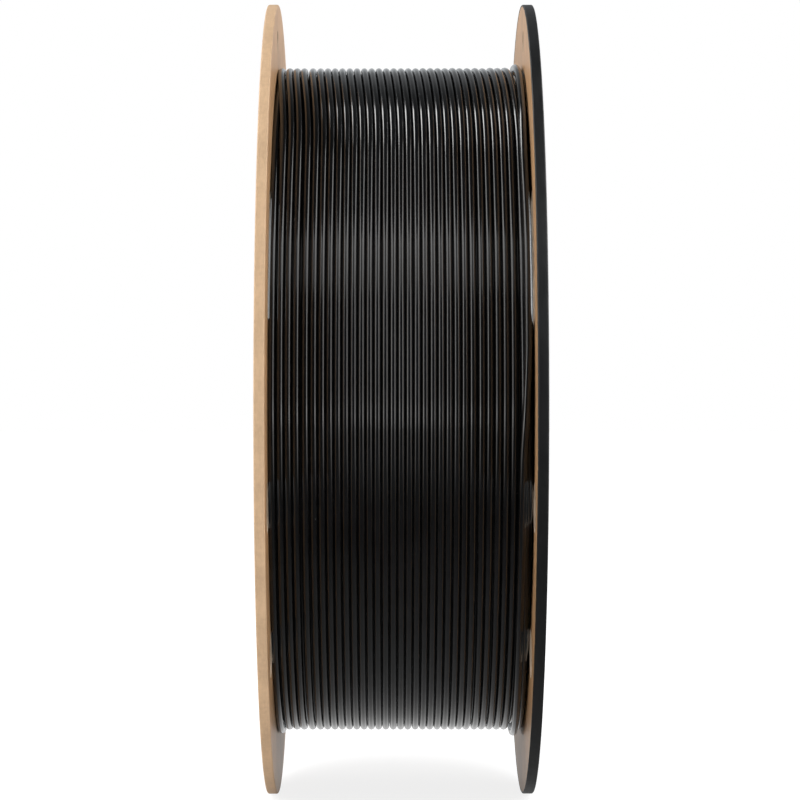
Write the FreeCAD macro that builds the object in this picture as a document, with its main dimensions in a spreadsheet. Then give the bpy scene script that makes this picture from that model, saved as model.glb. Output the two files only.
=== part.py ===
"""Cardboard filament spool with a wound strand, in millimetres.

The spool's axis lies along X. It stands on its two rims as it does on a table, +Z is up, and the
origin is the middle of the bore. Angles on a flange are counted from the front (-Y) upwards.
"""
import FreeCAD
import Part
import Sketcher

import math
import os

Vector = FreeCAD.Vector
Constraint = Sketcher.Constraint

# Driving dimensions, in millimetres, degrees and counts
SIZES = [
    ("flange_radius", 100.0, "outer radius of both flanges"),
    ("bore_radius", 27.5, "hole that a holder's spindle goes through"),
    ("winding_width", 61.4, "room between the two inner faces"),
    ("outer_board_thickness", 1.25, "lined board disc with the bore"),
    ("inner_board_thickness", 1.25, "lined board disc with the tube's seat"),
    ("edging_thickness", 0.4, "strip round a flange's rim, measured radially"),
    ("tube_radius", 42.0, "outside of the core tube"),
    ("outer_ply_thickness", 0.5, "outermost spiral ply of the tube"),
    ("body_ply_thickness", 1.6, "plies in the middle of its wall"),
    ("inner_ply_thickness", 0.5, "innermost spiral ply"),
    ("glue_line", 0.05, "glue between two curved layers"),
    ("seat_clearance", 0.1, "radial room round the core tube in its seats"),
    ("glue_leg", 2.0, "leg of the glue fillets inside the tube"),
    ("strand_diameter", 1.75, "diameter of the filament"),
    ("winding_inset", 16.0, "outside of the last full layer, below the rim"),
    ("layer_gap", 0.15, "room between that layer and the layers under it"),
    ("core_side_gap", 0.15, "room between the layers under it and a flange"),
    ("first_turn_gap", 0.2, "room between the first turn and the left flange"),
    ("last_turn_gap", 0.8, "room between the strand and the right flange where it leaves"),
    ("turn_gap", 0.7, "least room between two turns of that layer"),
    ("rise", 1.5, "climb of the last turn onto its neighbour"),
    ("rise_gap", 0.5, "room between the last turn and that neighbour"),
    ("end_bend", 2.5, "bends at both ends of the outer strand"),
    ("cutout_sets", 2, "sets of one window and two holes on a flange"),
    ("window_inset", 14.5, "outer edge of a window, below the rim"),
    ("window_inner_radius", 50.0, "inner edge of a window"),
    ("window_angle", 24.9, "middle of the first window"),
    ("window_span", 23.0, "angle that a window takes up"),
    ("window_corner", 2.5, "rounding of a window's corners"),
    ("hole_radius", 5.8, "round holes beside a window"),
    ("hole_inset", 15.0, "their centres, below the rim"),
    ("upper_hole_angle", -16.5, "first round hole"),
    ("lower_hole_angle", -44.5, "second round hole"),
    ("end_hole_radius", 2.75, "small hole that takes a loose end"),
    ("end_hole_inset", 9.0, "centre of that hole, below the rim"),
    ("end_hole_angle", 80.0, "place of that hole"),
    ("anchor_offset", 7.0, "anchor of the strand's start, from the left flange"),
    ("anchor_clearance", 0.3, "room round the strand in board or under the layer"),
    ("tail_bend", 2.5, "bend of the strand inside the tube"),
    ("tail_length", 12.0, "straight end of the strand inside the tube"),
]

# Corners of the strand's section, which stands for a round one
STRAND_SIDES = 5

doc = FreeCAD.newDocument("spool")
sheet = doc.addObject("Spreadsheet::Sheet", "Sizes")
for row, (name, value, meaning) in enumerate(SIZES, start=1):
    sheet.set("A%d" % row, name)
    sheet.set("B%d" % row, str(value))
    sheet.set("C%d" % row, meaning)
    sheet.setAlias("B%d" % row, name)
doc.recompute()

# Expressions that several pieces share
HALF_WIDTH = "(Sizes.winding_width / 2)"
FLANGE_THICKNESS = "(Sizes.inner_board_thickness + Sizes.outer_board_thickness)"
BOARD_RADIUS = "(Sizes.flange_radius - Sizes.edging_thickness - Sizes.glue_line)"
SEAT_RADIUS = "(Sizes.tube_radius + Sizes.seat_clearance)"
BODY_PLY_OUTSIDE = "(Sizes.tube_radius - Sizes.outer_ply_thickness - Sizes.glue_line)"
INNER_PLY_OUTSIDE = "(%s - Sizes.body_ply_thickness - Sizes.glue_line)" % BODY_PLY_OUTSIDE
TUBE_INSIDE = "(%s - Sizes.inner_ply_thickness)" % INNER_PLY_OUTSIDE
TUBE_HALF_LENGTH = "(%s + Sizes.inner_board_thickness)" % HALF_WIDTH
ANCHOR_X = "(Sizes.anchor_offset - %s)" % HALF_WIDTH
ANCHOR_HOLE_RADIUS = "(Sizes.strand_diameter / 2 + Sizes.anchor_clearance)"
WINDING_RADIUS = "(Sizes.flange_radius - Sizes.winding_inset)"
INNER_LAYERS_RADIUS = "(%s - Sizes.strand_diameter - Sizes.layer_gap)" % WINDING_RADIUS
WINDOW_OUTER_RADIUS = "(Sizes.flange_radius - Sizes.window_inset)"
HOLE_RING_RADIUS = "(Sizes.flange_radius - Sizes.hole_inset)"
END_HOLE_RING_RADIUS = "(Sizes.flange_radius - Sizes.end_hole_inset)"

parts = []


def measure(expression):
    """The present value of an expression over the sheet's cells."""
    return float(sheet.evalExpression(expression.replace("Sizes.", "")))


def add_body(label):
    """An empty body under its own label."""
    body = doc.addObject("PartDesign::Body", label)
    body.Label = label
    parts.append(body)
    return body


def origin_feature(body, role):
    """One of the body's own origin planes or axes."""
    return next(f for f in body.Origin.OriginFeatures if f.Role == role)


def add_sketch(body, name, plane):
    """A sketch on one of the body's own origin planes."""
    sketch = body.newObject("Sketcher::SketchObject", name)
    sketch.AttachmentSupport = [(origin_feature(body, plane), "")]
    sketch.MapMode = "FlatFace"
    return sketch


def constrain(sketch, kind, *arguments):
    """A constraint without a size."""
    sketch.addConstraint(Constraint(kind, *arguments))


def dimension(sketch, kind, expression, *arguments):
    """A constraint whose size follows the sheet."""
    value = measure(expression)
    unit = " * 1 mm"
    if kind == "Angle":
        value = math.radians(value)
        unit = " * 1 deg"
    index = sketch.addConstraint(Constraint(kind, *arguments, value))
    sketch.setExpression("Constraints[%d]" % index, "(%s)%s" % (expression, unit))


def draw_circle(sketch, radius):
    """A circle round the sketch's origin."""
    circle = sketch.addGeometry(Part.Circle(Vector(), Vector(0, 0, 1), measure(radius)))
    constrain(sketch, "Coincident", circle, 3, -1, 1)
    dimension(sketch, "Radius", radius, circle)


def draw_hole(sketch, radius, ring_radius, angle):
    """A circle whose centre lies on a ring, at a flange angle."""
    turned = "180 - %s" % angle
    direction = math.radians(measure(turned))
    distance = measure(ring_radius)
    centre = Vector(distance * math.cos(direction), distance * math.sin(direction), 0)
    spoke = sketch.addGeometry(Part.LineSegment(Vector(), centre), True)
    circle = sketch.addGeometry(Part.Circle(centre, Vector(0, 0, 1), measure(radius)))
    constrain(sketch, "Coincident", spoke, 1, -1, 1)
    constrain(sketch, "Coincident", circle, 3, spoke, 2)
    dimension(sketch, "Distance", ring_radius, spoke)
    dimension(sketch, "Angle", turned, spoke)
    dimension(sketch, "Radius", radius, circle)


def draw_window(sketch):
    """A sector between two radii with its four corners rounded."""
    outer = measure(WINDOW_OUTER_RADIUS)
    inner = measure("Sizes.window_inner_radius")
    corner = measure("Sizes.window_corner")
    low_side = "180 - Sizes.window_angle - Sizes.window_span / 2"
    high_side = "180 - Sizes.window_angle + Sizes.window_span / 2"
    low = math.radians(measure(low_side))
    high = math.radians(measure(high_side))
    outer_lean = math.asin(corner / (outer - corner))
    inner_lean = math.asin(corner / (inner + corner))

    def polar(radius, angle):
        return Vector(radius * math.cos(angle), radius * math.sin(angle), 0)

    def arc(centre, radius, start, end):
        circle = Part.Circle(centre, Vector(0, 0, 1), radius)
        return sketch.addGeometry(Part.ArcOfCircle(circle, start, end))

    def side(angle):
        near = (inner + corner) * math.cos(inner_lean)
        far = (outer - corner) * math.cos(outer_lean)
        line = Part.LineSegment(polar(near, angle), polar(far, angle))
        return sketch.addGeometry(line)

    quarter = math.pi / 2
    rim = arc(Vector(), outer, low + outer_lean, high - outer_lean)
    hub = arc(Vector(), inner, low + inner_lean, high - inner_lean)
    low_line = side(low)
    high_line = side(high)
    corners = [
        arc(polar(outer - corner, low + outer_lean), corner, low - quarter, low + outer_lean),
        arc(polar(outer - corner, high - outer_lean), corner, high - outer_lean, high + quarter),
        arc(polar(inner + corner, low + inner_lean), corner,
            low + inner_lean + 2 * quarter, low + 3 * quarter),
        arc(polar(inner + corner, high - inner_lean), corner,
            high + quarter, high - inner_lean + 2 * quarter),
    ]

    for whole in (rim, hub):
        constrain(sketch, "Coincident", whole, 3, -1, 1)
    joints = [
        (corners[0], 1, low_line, 2), (corners[0], 2, rim, 1),
        (corners[1], 1, rim, 2), (corners[1], 2, high_line, 2),
        (corners[2], 1, hub, 1), (corners[2], 2, low_line, 1),
        (corners[3], 1, high_line, 1), (corners[3], 2, hub, 2),
    ]
    for first, first_end, second, second_end in joints:
        constrain(sketch, "Tangent", first, first_end, second, second_end)
    for line, angle in ((low_line, low_side), (high_line, high_side)):
        constrain(sketch, "PointOnObject", -1, 1, line)
        dimension(sketch, "Angle", angle, line)
    dimension(sketch, "Radius", WINDOW_OUTER_RADIUS, rim)
    dimension(sketch, "Radius", "Sizes.window_inner_radius", hub)
    for rounding in corners:
        dimension(sketch, "Radius", "Sizes.window_corner", rounding)


def draw_polygon(sketch, corners):
    """A closed outline whose corners are fixed by pairs of expressions from the origin."""
    points = [Vector(measure(across), measure(up), 0) for across, up in corners]
    count = len(points)
    lines = [sketch.addGeometry(Part.LineSegment(points[i], points[(i + 1) % count]))
             for i in range(count)]
    for i, line in enumerate(lines):
        constrain(sketch, "Coincident", line, 2, lines[(i + 1) % count], 1)
        dimension(sketch, "DistanceX", corners[i][0], -1, 1, line, 1)
        dimension(sketch, "DistanceY", corners[i][1], -1, 1, line, 1)


def draw_strand_section(sketch):
    """A regular polygon inscribed in the strand's circle."""
    radius = "Sizes.strand_diameter / 2"
    points = []
    for i in range(STRAND_SIDES):
        turn = math.pi / 2 + 2 * math.pi * i / STRAND_SIDES
        points.append(Vector(math.cos(turn), math.sin(turn), 0) * measure(radius))
    circle = sketch.addGeometry(Part.Circle(Vector(), Vector(0, 0, 1), measure(radius)), True)
    sides = [sketch.addGeometry(Part.LineSegment(point, points[(i + 1) % STRAND_SIDES]))
             for i, point in enumerate(points)]
    constrain(sketch, "Coincident", circle, 3, -1, 1)
    dimension(sketch, "Radius", radius, circle)
    for i, side in enumerate(sides):
        constrain(sketch, "Coincident", side, 2, sides[(i + 1) % STRAND_SIDES], 1)
        constrain(sketch, "PointOnObject", side, 1, circle)
    for side in sides[1:]:
        constrain(sketch, "Equal", sides[0], side)
    constrain(sketch, "PointOnObject", sides[0], 1, -2)


def pad(body, sketch, length, midplane=False):
    """Raise a sketch along its normal."""
    feature = body.newObject("PartDesign::Pad", "Pad")
    feature.Profile = sketch
    feature.setExpression("Length", length)
    feature.Midplane = midplane
    sketch.Visibility = False
    return feature


def pocket(body, sketch):
    """Cut a sketch through everything on the side that its normal points to."""
    feature = body.newObject("PartDesign::Pocket", "Pocket")
    feature.Profile = sketch
    feature.Type = "ThroughAll"
    feature.Reversed = True
    sketch.Visibility = False
    return feature


def revolve(body, sketch, axis):
    """Turn a sketch once round one of the body's own axes."""
    feature = body.newObject("PartDesign::Revolution", "Revolution")
    feature.Profile = sketch
    feature.ReferenceAxis = (origin_feature(body, axis), [""])
    feature.Angle = 360
    sketch.Visibility = False


def add_flange_disc(label, hole_radius, thickness, place):
    """One disc of a flange with its hole, windows and round holes, from place towards +X."""
    body = add_body(label)
    disc = add_sketch(body, "Disc", "YZ_Plane")
    draw_circle(disc, BOARD_RADIUS)
    draw_circle(disc, hole_radius)
    pad(body, disc, thickness)

    cutouts = add_sketch(body, "Cutouts", "YZ_Plane")
    draw_window(cutouts)
    for angle in ("Sizes.upper_hole_angle", "Sizes.lower_hole_angle"):
        draw_hole(cutouts, "Sizes.hole_radius", HOLE_RING_RADIUS, angle)
    cut = pocket(body, cutouts)
    doc.recompute()
    pattern = body.newObject("PartDesign::PolarPattern", "CutoutSets")
    pattern.Originals = [cut]
    pattern.Axis = (origin_feature(body, "X_Axis"), [""])
    pattern.Angle = 360
    pattern.setExpression("Occurrences", "Sizes.cutout_sets")
    body.Tip = pattern
    doc.recompute()

    end_hole = add_sketch(body, "EndHole", "YZ_Plane")
    draw_hole(end_hole, "Sizes.end_hole_radius", END_HOLE_RING_RADIUS, "Sizes.end_hole_angle")
    pocket(body, end_hole)
    body.setExpression("Placement.Base.x", place)


def add_edging(label, place):
    """The strip round a flange's rim, over both its discs, from place towards +X."""
    body = add_body(label)
    ring = add_sketch(body, "Ring", "YZ_Plane")
    draw_circle(ring, "Sizes.flange_radius")
    draw_circle(ring, "Sizes.flange_radius - Sizes.edging_thickness")
    pad(body, ring, FLANGE_THICKNESS)
    body.setExpression("Placement.Base.x", place)


def add_flange(side):
    """A laminated flange: a disc that seats the tube, a disc with the bore, and the edging."""
    seat_face = HALF_WIDTH
    bore_face = TUBE_HALF_LENGTH
    edging_face = HALF_WIDTH
    if side == "left":
        seat_face = "-%s" % TUBE_HALF_LENGTH
        bore_face = "-(%s + Sizes.outer_board_thickness)" % TUBE_HALF_LENGTH
        edging_face = bore_face
    add_flange_disc(side + "_inner_disc", SEAT_RADIUS, "Sizes.inner_board_thickness", seat_face)
    add_flange_disc(side + "_outer_disc", "Sizes.bore_radius", "Sizes.outer_board_thickness",
                    bore_face)
    add_edging(side + "_rim_edging", edging_face)


def add_tube_ply(label, outside, thickness):
    """One ply of the core tube, pierced where the strand starts."""
    body = add_body(label)
    ring = add_sketch(body, "Ring", "YZ_Plane")
    draw_circle(ring, outside)
    draw_circle(ring, "%s - %s" % (outside, thickness))
    pad(body, ring, "2 * " + TUBE_HALF_LENGTH, midplane=True)
    anchor = add_sketch(body, "Anchor", "XY_Plane")
    circle = anchor.addGeometry(Part.Circle(Vector(measure(ANCHOR_X), 0, 0), Vector(0, 0, 1),
                                            measure(ANCHOR_HOLE_RADIUS)))
    constrain(anchor, "PointOnObject", circle, 3, -1)
    dimension(anchor, "DistanceX", ANCHOR_X, -1, 1, circle, 3)
    dimension(anchor, "Radius", ANCHOR_HOLE_RADIUS, circle)
    pocket(body, anchor)


def add_glue_fillet(label, side):
    """The glue in the corner between the tube's inside and an outer board."""
    body = add_body(label)
    section = add_sketch(body, "Section", "XY_Plane")
    wall = TUBE_INSIDE + " - Sizes.glue_line"
    draw_polygon(section, [
        ("0", wall), ("0", wall + " - Sizes.glue_leg"), ("Sizes.glue_leg", wall),
    ])
    revolve(body, section, "X_Axis")
    body.setExpression("Placement.Base.x", "%s%s" % ("-" if side < 0 else "", TUBE_HALF_LENGTH))
    if side > 0:
        body.Placement.Rotation = FreeCAD.Rotation(Vector(0, 0, 1), 180)


def arc_edge(start, tangent, end):
    """The circular arc that leaves start along tangent and reaches end."""
    chord = end - start
    side = (chord - tangent * chord.dot(tangent)).normalize()
    radius = chord.dot(chord) / (2 * chord.dot(side))
    centre = start + side * radius
    middle = centre + ((start + end) * 0.5 - centre).normalize() * radius
    return Part.Arc(start, middle, end).toShape()


def biarc_edges(start, start_tangent, end, end_tangent):
    """Two arcs with a common tangent from one point and direction to another."""
    chord = end - start
    both = start_tangent + end_tangent
    a = 2 * (1 - start_tangent.dot(end_tangent))
    b = 2 * chord.dot(both)
    reach = (math.sqrt(b * b + 4 * a * chord.dot(chord)) - b) / (2 * a)
    first = start + start_tangent * reach
    second = end - end_tangent * reach
    middle = (first + second) * 0.5
    joint = (second - first).normalize()
    return [arc_edge(start, start_tangent, middle), arc_edge(middle, joint, end)]


def outer_strand_edges():
    """The path of the last layer, from its climb out of the core to its end in a flange."""
    diameter = measure("Sizes.strand_diameter")
    layer_radius = measure(WINDING_RADIUS) - diameter / 2
    rise = measure("Sizes.rise")
    beside = math.sqrt((diameter + measure("Sizes.rise_gap")) ** 2 - rise ** 2)
    first_x = measure("Sizes.first_turn_gap - " + HALF_WIDTH) + diameter / 2
    last_x = measure(HALF_WIDTH + " - Sizes.last_turn_gap") - diameter / 2
    bend = measure("Sizes.end_bend")
    raised_turns = 0.9

    # The turn beside the last one is a whole turn earlier, so the turns spread over this width
    width = last_x - beside - first_x
    turns = width / (diameter + measure("Sizes.turn_gap")) + 1
    half_turns = int(2 * (turns - raised_turns))
    pitch = width / (half_turns / 2 + raised_turns - 1)

    # The strand runs down the front and up the back, so its angle falls along it. Its end lies
    # in the round hole that is opposite the upper one, near the hole's edge
    hole_angle = math.radians(measure("Sizes.upper_hole_angle") + 180)
    raised_radius = layer_radius + rise
    in_hole = measure("Sizes.hole_radius") - diameter / 2 - measure("Sizes.anchor_clearance")
    end_angle = hole_angle + (in_hole + bend) / raised_radius
    start_angle = end_angle + (half_turns / 2 + raised_turns) * 2 * math.pi

    def at(angle, x, radius):
        return Vector(x, -radius * math.cos(angle), radius * math.sin(angle))

    def along(angle, slope, radius):
        return Vector(slope, -radius * math.sin(angle), -radius * math.cos(angle)).normalize()

    # Stations at every half turn of the layer, then round the climbed turn
    slope = pitch / (2 * math.pi)
    stations = []
    for i in range(half_turns):
        angle = start_angle - i * math.pi
        stations.append((angle, first_x + i * pitch / 2, layer_radius))
    for to_go in (raised_turns, raised_turns - 0.5, 0):
        angle = end_angle + to_go * 2 * math.pi
        stations.append((angle, last_x - to_go * pitch, raised_radius))

    angle, x, radius = stations[0]
    outward = at(angle, 0, 1)
    first = at(angle, x, radius)
    forward = along(angle, slope, radius)
    under = first - (forward + outward) * bend
    foot = under - outward * diameter
    edges = [Part.LineSegment(foot, under).toShape(), arc_edge(under, outward, first)]
    for here, there in zip(stations, stations[1:]):
        edges += biarc_edges(at(*here), along(here[0], slope, here[2]),
                             at(*there), along(there[0], slope, there[2]))
    angle, x, radius = stations[-1]
    last = at(angle, x, radius)
    forward = along(angle, slope, radius)
    axial = Vector(1, 0, 0)
    turned = axial - forward * axial.dot(forward)
    turned.normalize()
    swing = math.acos(axial.dot(forward))
    centre = last + turned * bend
    in_flange = centre + (forward * math.sin(swing) - turned * math.cos(swing)) * bend
    edges.append(arc_edge(last, forward, in_flange))
    edges.append(Part.LineSegment(in_flange, in_flange + axial * diameter).toShape())
    return edges, start_angle, first_x


def strand_solid(edges, diameter):
    """A faceted round bar along a path."""
    start = edges[0].valueAt(edges[0].FirstParameter)
    direction = edges[0].tangentAt(edges[0].FirstParameter)
    across = direction.cross(Vector(1, 0, 0)).normalize()
    up = direction.cross(across)
    corners = []
    for i in range(STRAND_SIDES + 1):
        turn = 2 * math.pi * i / STRAND_SIDES
        corners.append(start + (across * math.cos(turn) + up * math.sin(turn)) * (diameter / 2))
    profile = Part.makePolygon(corners)
    return Part.Wire(edges).makePipeShell([profile], True, False)


def least_gap(edges, diameter):
    """The smallest room between parts of a strand that are more than a quarter turn apart."""
    points = []
    for edge in edges:
        points += edge.discretize(Distance=2.0)[1:]
    steps = []
    travelled = 0.0
    for before, point in zip(points, points[1:]):
        travelled += point.distanceToPoint(before)
        steps.append((travelled, point))
    turn = 2 * math.pi * measure(WINDING_RADIUS)
    best = turn
    for i, (here, point) in enumerate(steps):
        for there, other in steps[i + 1:]:
            if there - here > 1.3 * turn:
                break
            if there - here > 0.25 * turn:
                best = min(best, point.distanceToPoint(other))
    return best - diameter


def add_outer_strand(label):
    """The last layer with both its ends, as one unbroken strand."""
    diameter = measure("Sizes.strand_diameter")
    edges, start_angle, first_x = outer_strand_edges()
    shape = strand_solid(edges, diameter)
    feature = doc.addObject("Part::Feature", label)
    feature.Label = label
    feature.Shape = shape
    feature.Placement = FreeCAD.Placement()
    parts.append(feature)
    length = sum(edge.Length for edge in edges)
    corner_angle = 2 * math.pi / STRAND_SIDES
    section = STRAND_SIDES / 2 * math.sin(corner_angle) * (diameter / 2) ** 2
    print("outer strand: length %.1f, volume %.4f of its section times its length, least gap %.3f"
          % (length, shape.Volume / (section * length), least_gap(edges, diameter)))
    return start_angle, first_x


def add_inner_layers(label, start_angle, first_x):
    """The layers under the last one, with the slot that the outer strand climbs out of."""
    body = add_body(label)
    ring = add_sketch(body, "Ring", "YZ_Plane")
    draw_circle(ring, INNER_LAYERS_RADIUS)
    draw_circle(ring, "Sizes.tube_radius + Sizes.glue_line")
    pad(body, ring, "Sizes.winding_width - 2 * Sizes.core_side_gap", midplane=True)

    # The slot is cut upwards, and the body is turned to the angle where the strand starts
    slot = add_sketch(body, "ClimbSlot", "XY_Plane")
    depth = "(Sizes.end_bend + Sizes.strand_diameter * 1.5 + Sizes.anchor_clearance)"
    slot.setExpression("AttachmentOffset.Base.z", "%s - %s" % (WINDING_RADIUS, depth))
    middle = "(Sizes.first_turn_gap + Sizes.strand_diameter / 2 - %s)" % HALF_WIDTH
    low = "%s - %s" % (middle, ANCHOR_HOLE_RADIUS)
    high = "%s + %s" % (middle, ANCHOR_HOLE_RADIUS)
    front = "-Sizes.anchor_clearance"
    back = "(Sizes.end_bend + %s)" % ANCHOR_HOLE_RADIUS
    draw_polygon(slot, [(low, front), (high, front), (high, back), (low, back)])
    pocket(body, slot)
    turned = math.degrees(start_angle) - 90
    body.Placement = FreeCAD.Placement(Vector(), FreeCAD.Rotation(Vector(1, 0, 0), -turned))


def add_strand_start(label):
    """The strand's first end, which goes through the tube's wall and bends along it."""
    body = add_body(label)
    section = add_sketch(body, "Section", "XY_Plane")
    draw_strand_section(section)
    path = add_sketch(body, "Path", "XZ_Plane")
    drop = "(Sizes.tube_radius - %s)" % TUBE_INSIDE
    depth = measure(drop)
    bend = measure("Sizes.tail_bend")
    tail = measure("Sizes.tail_length")
    down = path.addGeometry(Part.LineSegment(Vector(), Vector(0, -depth, 0)))
    circle = Part.Circle(Vector(bend, -depth, 0), Vector(0, 0, 1), bend)
    turn = path.addGeometry(Part.ArcOfCircle(circle, math.pi, 1.5 * math.pi))
    away = path.addGeometry(Part.LineSegment(Vector(bend, -depth - bend, 0),
                                             Vector(bend + tail, -depth - bend, 0)))
    constrain(path, "Coincident", down, 1, -1, 1)
    constrain(path, "Vertical", down)
    constrain(path, "Horizontal", away)
    constrain(path, "Tangent", down, 2, turn, 1)
    constrain(path, "Tangent", turn, 2, away, 1)
    dimension(path, "Distance", drop, down)
    dimension(path, "Radius", "Sizes.tail_bend", turn)
    dimension(path, "Distance", "Sizes.tail_length", away)
    doc.recompute()
    pipe = body.newObject("PartDesign::AdditivePipe", "Strand")
    pipe.Profile = section
    pipe.Spine = (path, ["Edge1", "Edge2", "Edge3"])
    section.Visibility = False
    path.Visibility = False
    body.setExpression("Placement.Base.x", ANCHOR_X)
    body.setExpression("Placement.Base.z", "Sizes.tube_radius")


add_flange("left")
add_flange("right")
add_tube_ply("tube_outer_ply", "Sizes.tube_radius", "Sizes.outer_ply_thickness")
add_tube_ply("tube_body_plies", BODY_PLY_OUTSIDE, "Sizes.body_ply_thickness")
add_tube_ply("tube_inner_ply", INNER_PLY_OUTSIDE, "Sizes.inner_ply_thickness")
add_glue_fillet("left_glue_fillet", -1)
add_glue_fillet("right_glue_fillet", 1)
climb_angle, climb_x = add_outer_strand("filament_outer_layer")
add_inner_layers("filament_inner_layers", climb_angle, climb_x)
add_strand_start("filament_start")
doc.recompute()

for thing in doc.Objects:
    if "Invalid" in thing.State or "Error" in thing.State:
        raise RuntimeError("%s is %s" % (thing.Label, thing.State))
for part in parts:
    if part.Shape.isNull() or not part.Shape.isValid() or len(part.Shape.Solids) != 1:
        raise RuntimeError("%s has no single valid solid" % part.Label)

os.makedirs("parts", exist_ok=True)
for part in parts:
    part.Shape.exportStep("parts/%s.step" % part.Label)
    print("%-24s volume %10.1f" % (part.Label, part.Shape.Volume))
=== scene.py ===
import math
import random

import bpy
import numpy as np
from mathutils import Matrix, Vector


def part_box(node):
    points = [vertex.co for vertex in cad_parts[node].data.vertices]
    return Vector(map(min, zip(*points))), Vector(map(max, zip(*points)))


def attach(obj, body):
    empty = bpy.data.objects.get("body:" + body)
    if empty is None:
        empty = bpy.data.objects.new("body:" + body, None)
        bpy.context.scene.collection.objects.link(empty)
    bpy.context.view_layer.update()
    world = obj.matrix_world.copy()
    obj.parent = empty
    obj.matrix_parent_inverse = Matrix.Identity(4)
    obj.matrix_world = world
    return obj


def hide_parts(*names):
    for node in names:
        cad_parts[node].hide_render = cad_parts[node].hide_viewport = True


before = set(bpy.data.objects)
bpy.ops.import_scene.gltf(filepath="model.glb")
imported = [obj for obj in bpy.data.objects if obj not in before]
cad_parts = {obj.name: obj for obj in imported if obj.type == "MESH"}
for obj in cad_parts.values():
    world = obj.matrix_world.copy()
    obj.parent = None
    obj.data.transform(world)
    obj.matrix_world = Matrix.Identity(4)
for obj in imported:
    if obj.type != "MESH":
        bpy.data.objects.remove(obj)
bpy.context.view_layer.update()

# Lengths are in metres and angles in degrees unless a name says otherwise.
# An angle about the spool's axis (X) starts at the front (-Y) and grows upwards.

# The photograph's frame and the camera that took it, as worked out from the spool's outline
PHOTO_SIDE = 800
FOCAL_LENGTH_PX = 3188.5
OPTICAL_CENTRE_PX = (392.65, 359.4)
SENSOR_WIDTH = 36.0
CAMERA_PLACE = (-0.00194, -0.8143, 0.010)

# What the frame says about the spool
RIM_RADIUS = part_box("right_rim_edging")[1].z
RIM_INSIDE_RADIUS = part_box("right_inner_disc")[1].z
INNER_FACE_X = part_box("right_inner_disc")[0].x
OUTER_FACE_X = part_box("right_outer_disc")[1].x
TUBE_OUTSIDE_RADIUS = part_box("tube_outer_ply")[1].z
TUBE_INSIDE_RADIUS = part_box("left_glue_fillet")[1].z

# The strand and its outer layer
STRAND_RADIUS = 0.000875
LAYER_RADIUS = 0.083125
LAYERS_BELOW = 26
LAYER_RISE = (LAYER_RADIUS - TUBE_OUTSIDE_RADIUS - STRAND_RADIUS) / LAYERS_BELOW
FIRST_TURN_X = -0.02977
LAST_TURN_X = 0.0281
TURN_COUNT = 32
CLOSEST_TURNS = 0.001756
TURNS_SEED = 11
STEPS_PER_TURN = 200
STRAND_SIDES = 12

# Wider gaps that show in the photograph: after which turn, and how much wider
WIDE_GAPS = {1: 0.00006, 4: 0.00030, 5: 0.00010, 26: 0.00019, 28: 0.00012, 31: 0.00024}

# Where each turn steps over to its next place: down from an angle, which differs from the first turn to the
# last, to another angle, and how far it rides up over the turns beneath
STEP_FROM = (81.0, 98.0)
STEP_TO = 46.0
STEP_RISE = (0.00004, 0.00030)

# A turn's sideways wander, which fades out towards the back, where one turn becomes the next
WAVER = 0.00003
WAVER_FADE = 60.0

# The first turn starts at the back a layer lower and climbs from one angle to another. At the bottom it rides
# up once more: each pair is where that rise is zero and where it is whole
START_ANGLE = 180.0
CLIMB = (62.0, 30.0)
BOTTOM_RISE = 0.0009
BOTTOM_UP = (-45.0, -80.0)
BOTTOM_DOWN = (-150.0, -95.0)

# The last turn of the layer moves out to the flange between two angles
MOVE_OUT = (30.0, -100.0)

# The raised last turn: angle, x and how far it lies above the layer
RAISED_TURN = (
    (180.0, 0.02970, 0.0),
    (125.0, 0.02962, 0.00004),
    (105.0, 0.02915, 0.00045),
    (90.0, 0.02885, 0.00080),
    (80.0, 0.02900, 0.00115),
    (70.0, 0.02922, 0.00138),
    (58.0, 0.02922, 0.00140),
    (44.0, 0.02905, 0.00145),
    (28.0, 0.02922, 0.00150),
    (10.0, 0.02920, 0.00165),
    (0.0, 0.02872, 0.00180),
    (-10.0, 0.02802, 0.00165),
    (-33.0, 0.02789, 0.00138),
    (-60.0, 0.02812, 0.00138),
    (-84.0, 0.02840, 0.00150),
    (-130.0, 0.02850, 0.00150),
    (-165.0, 0.02860, 0.00165),
    (-192.5, 0.02890, 0.00182),
)

# Its end bends into the flange's round hole
EXIT_BEND = 0.0025
EXIT_BEND_STEPS = 12
EXIT_END_X = OUTER_FACE_X - 0.00005


def place(radius, angle, x):
    """The point at that radius and angle about the spool's axis."""
    turned = math.radians(angle)
    return (x, -radius * math.cos(turned), radius * math.sin(turned))


def smooth(low, high, value):
    """0 at low, 1 at high, with a soft start and end; low may be the larger."""
    share = min(1.0, max(0.0, (value - low) / (high - low)))
    return share * share * (3 - 2 * share)


# Meshes


def make_object(name, points, faces, material, slot):
    """A smooth-shaded piece of the spool."""
    mesh = bpy.data.meshes.new(name)
    mesh.from_pydata([tuple(p) for p in points], [], [tuple(f) for f in faces])
    mesh.polygons.foreach_set("use_smooth", [True] * len(mesh.polygons))
    mesh.update()
    made = bpy.data.objects.new(name, mesh)
    bpy.context.scene.collection.objects.link(made)
    made.data.materials.append(material)
    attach(made, "root")
    return made


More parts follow.
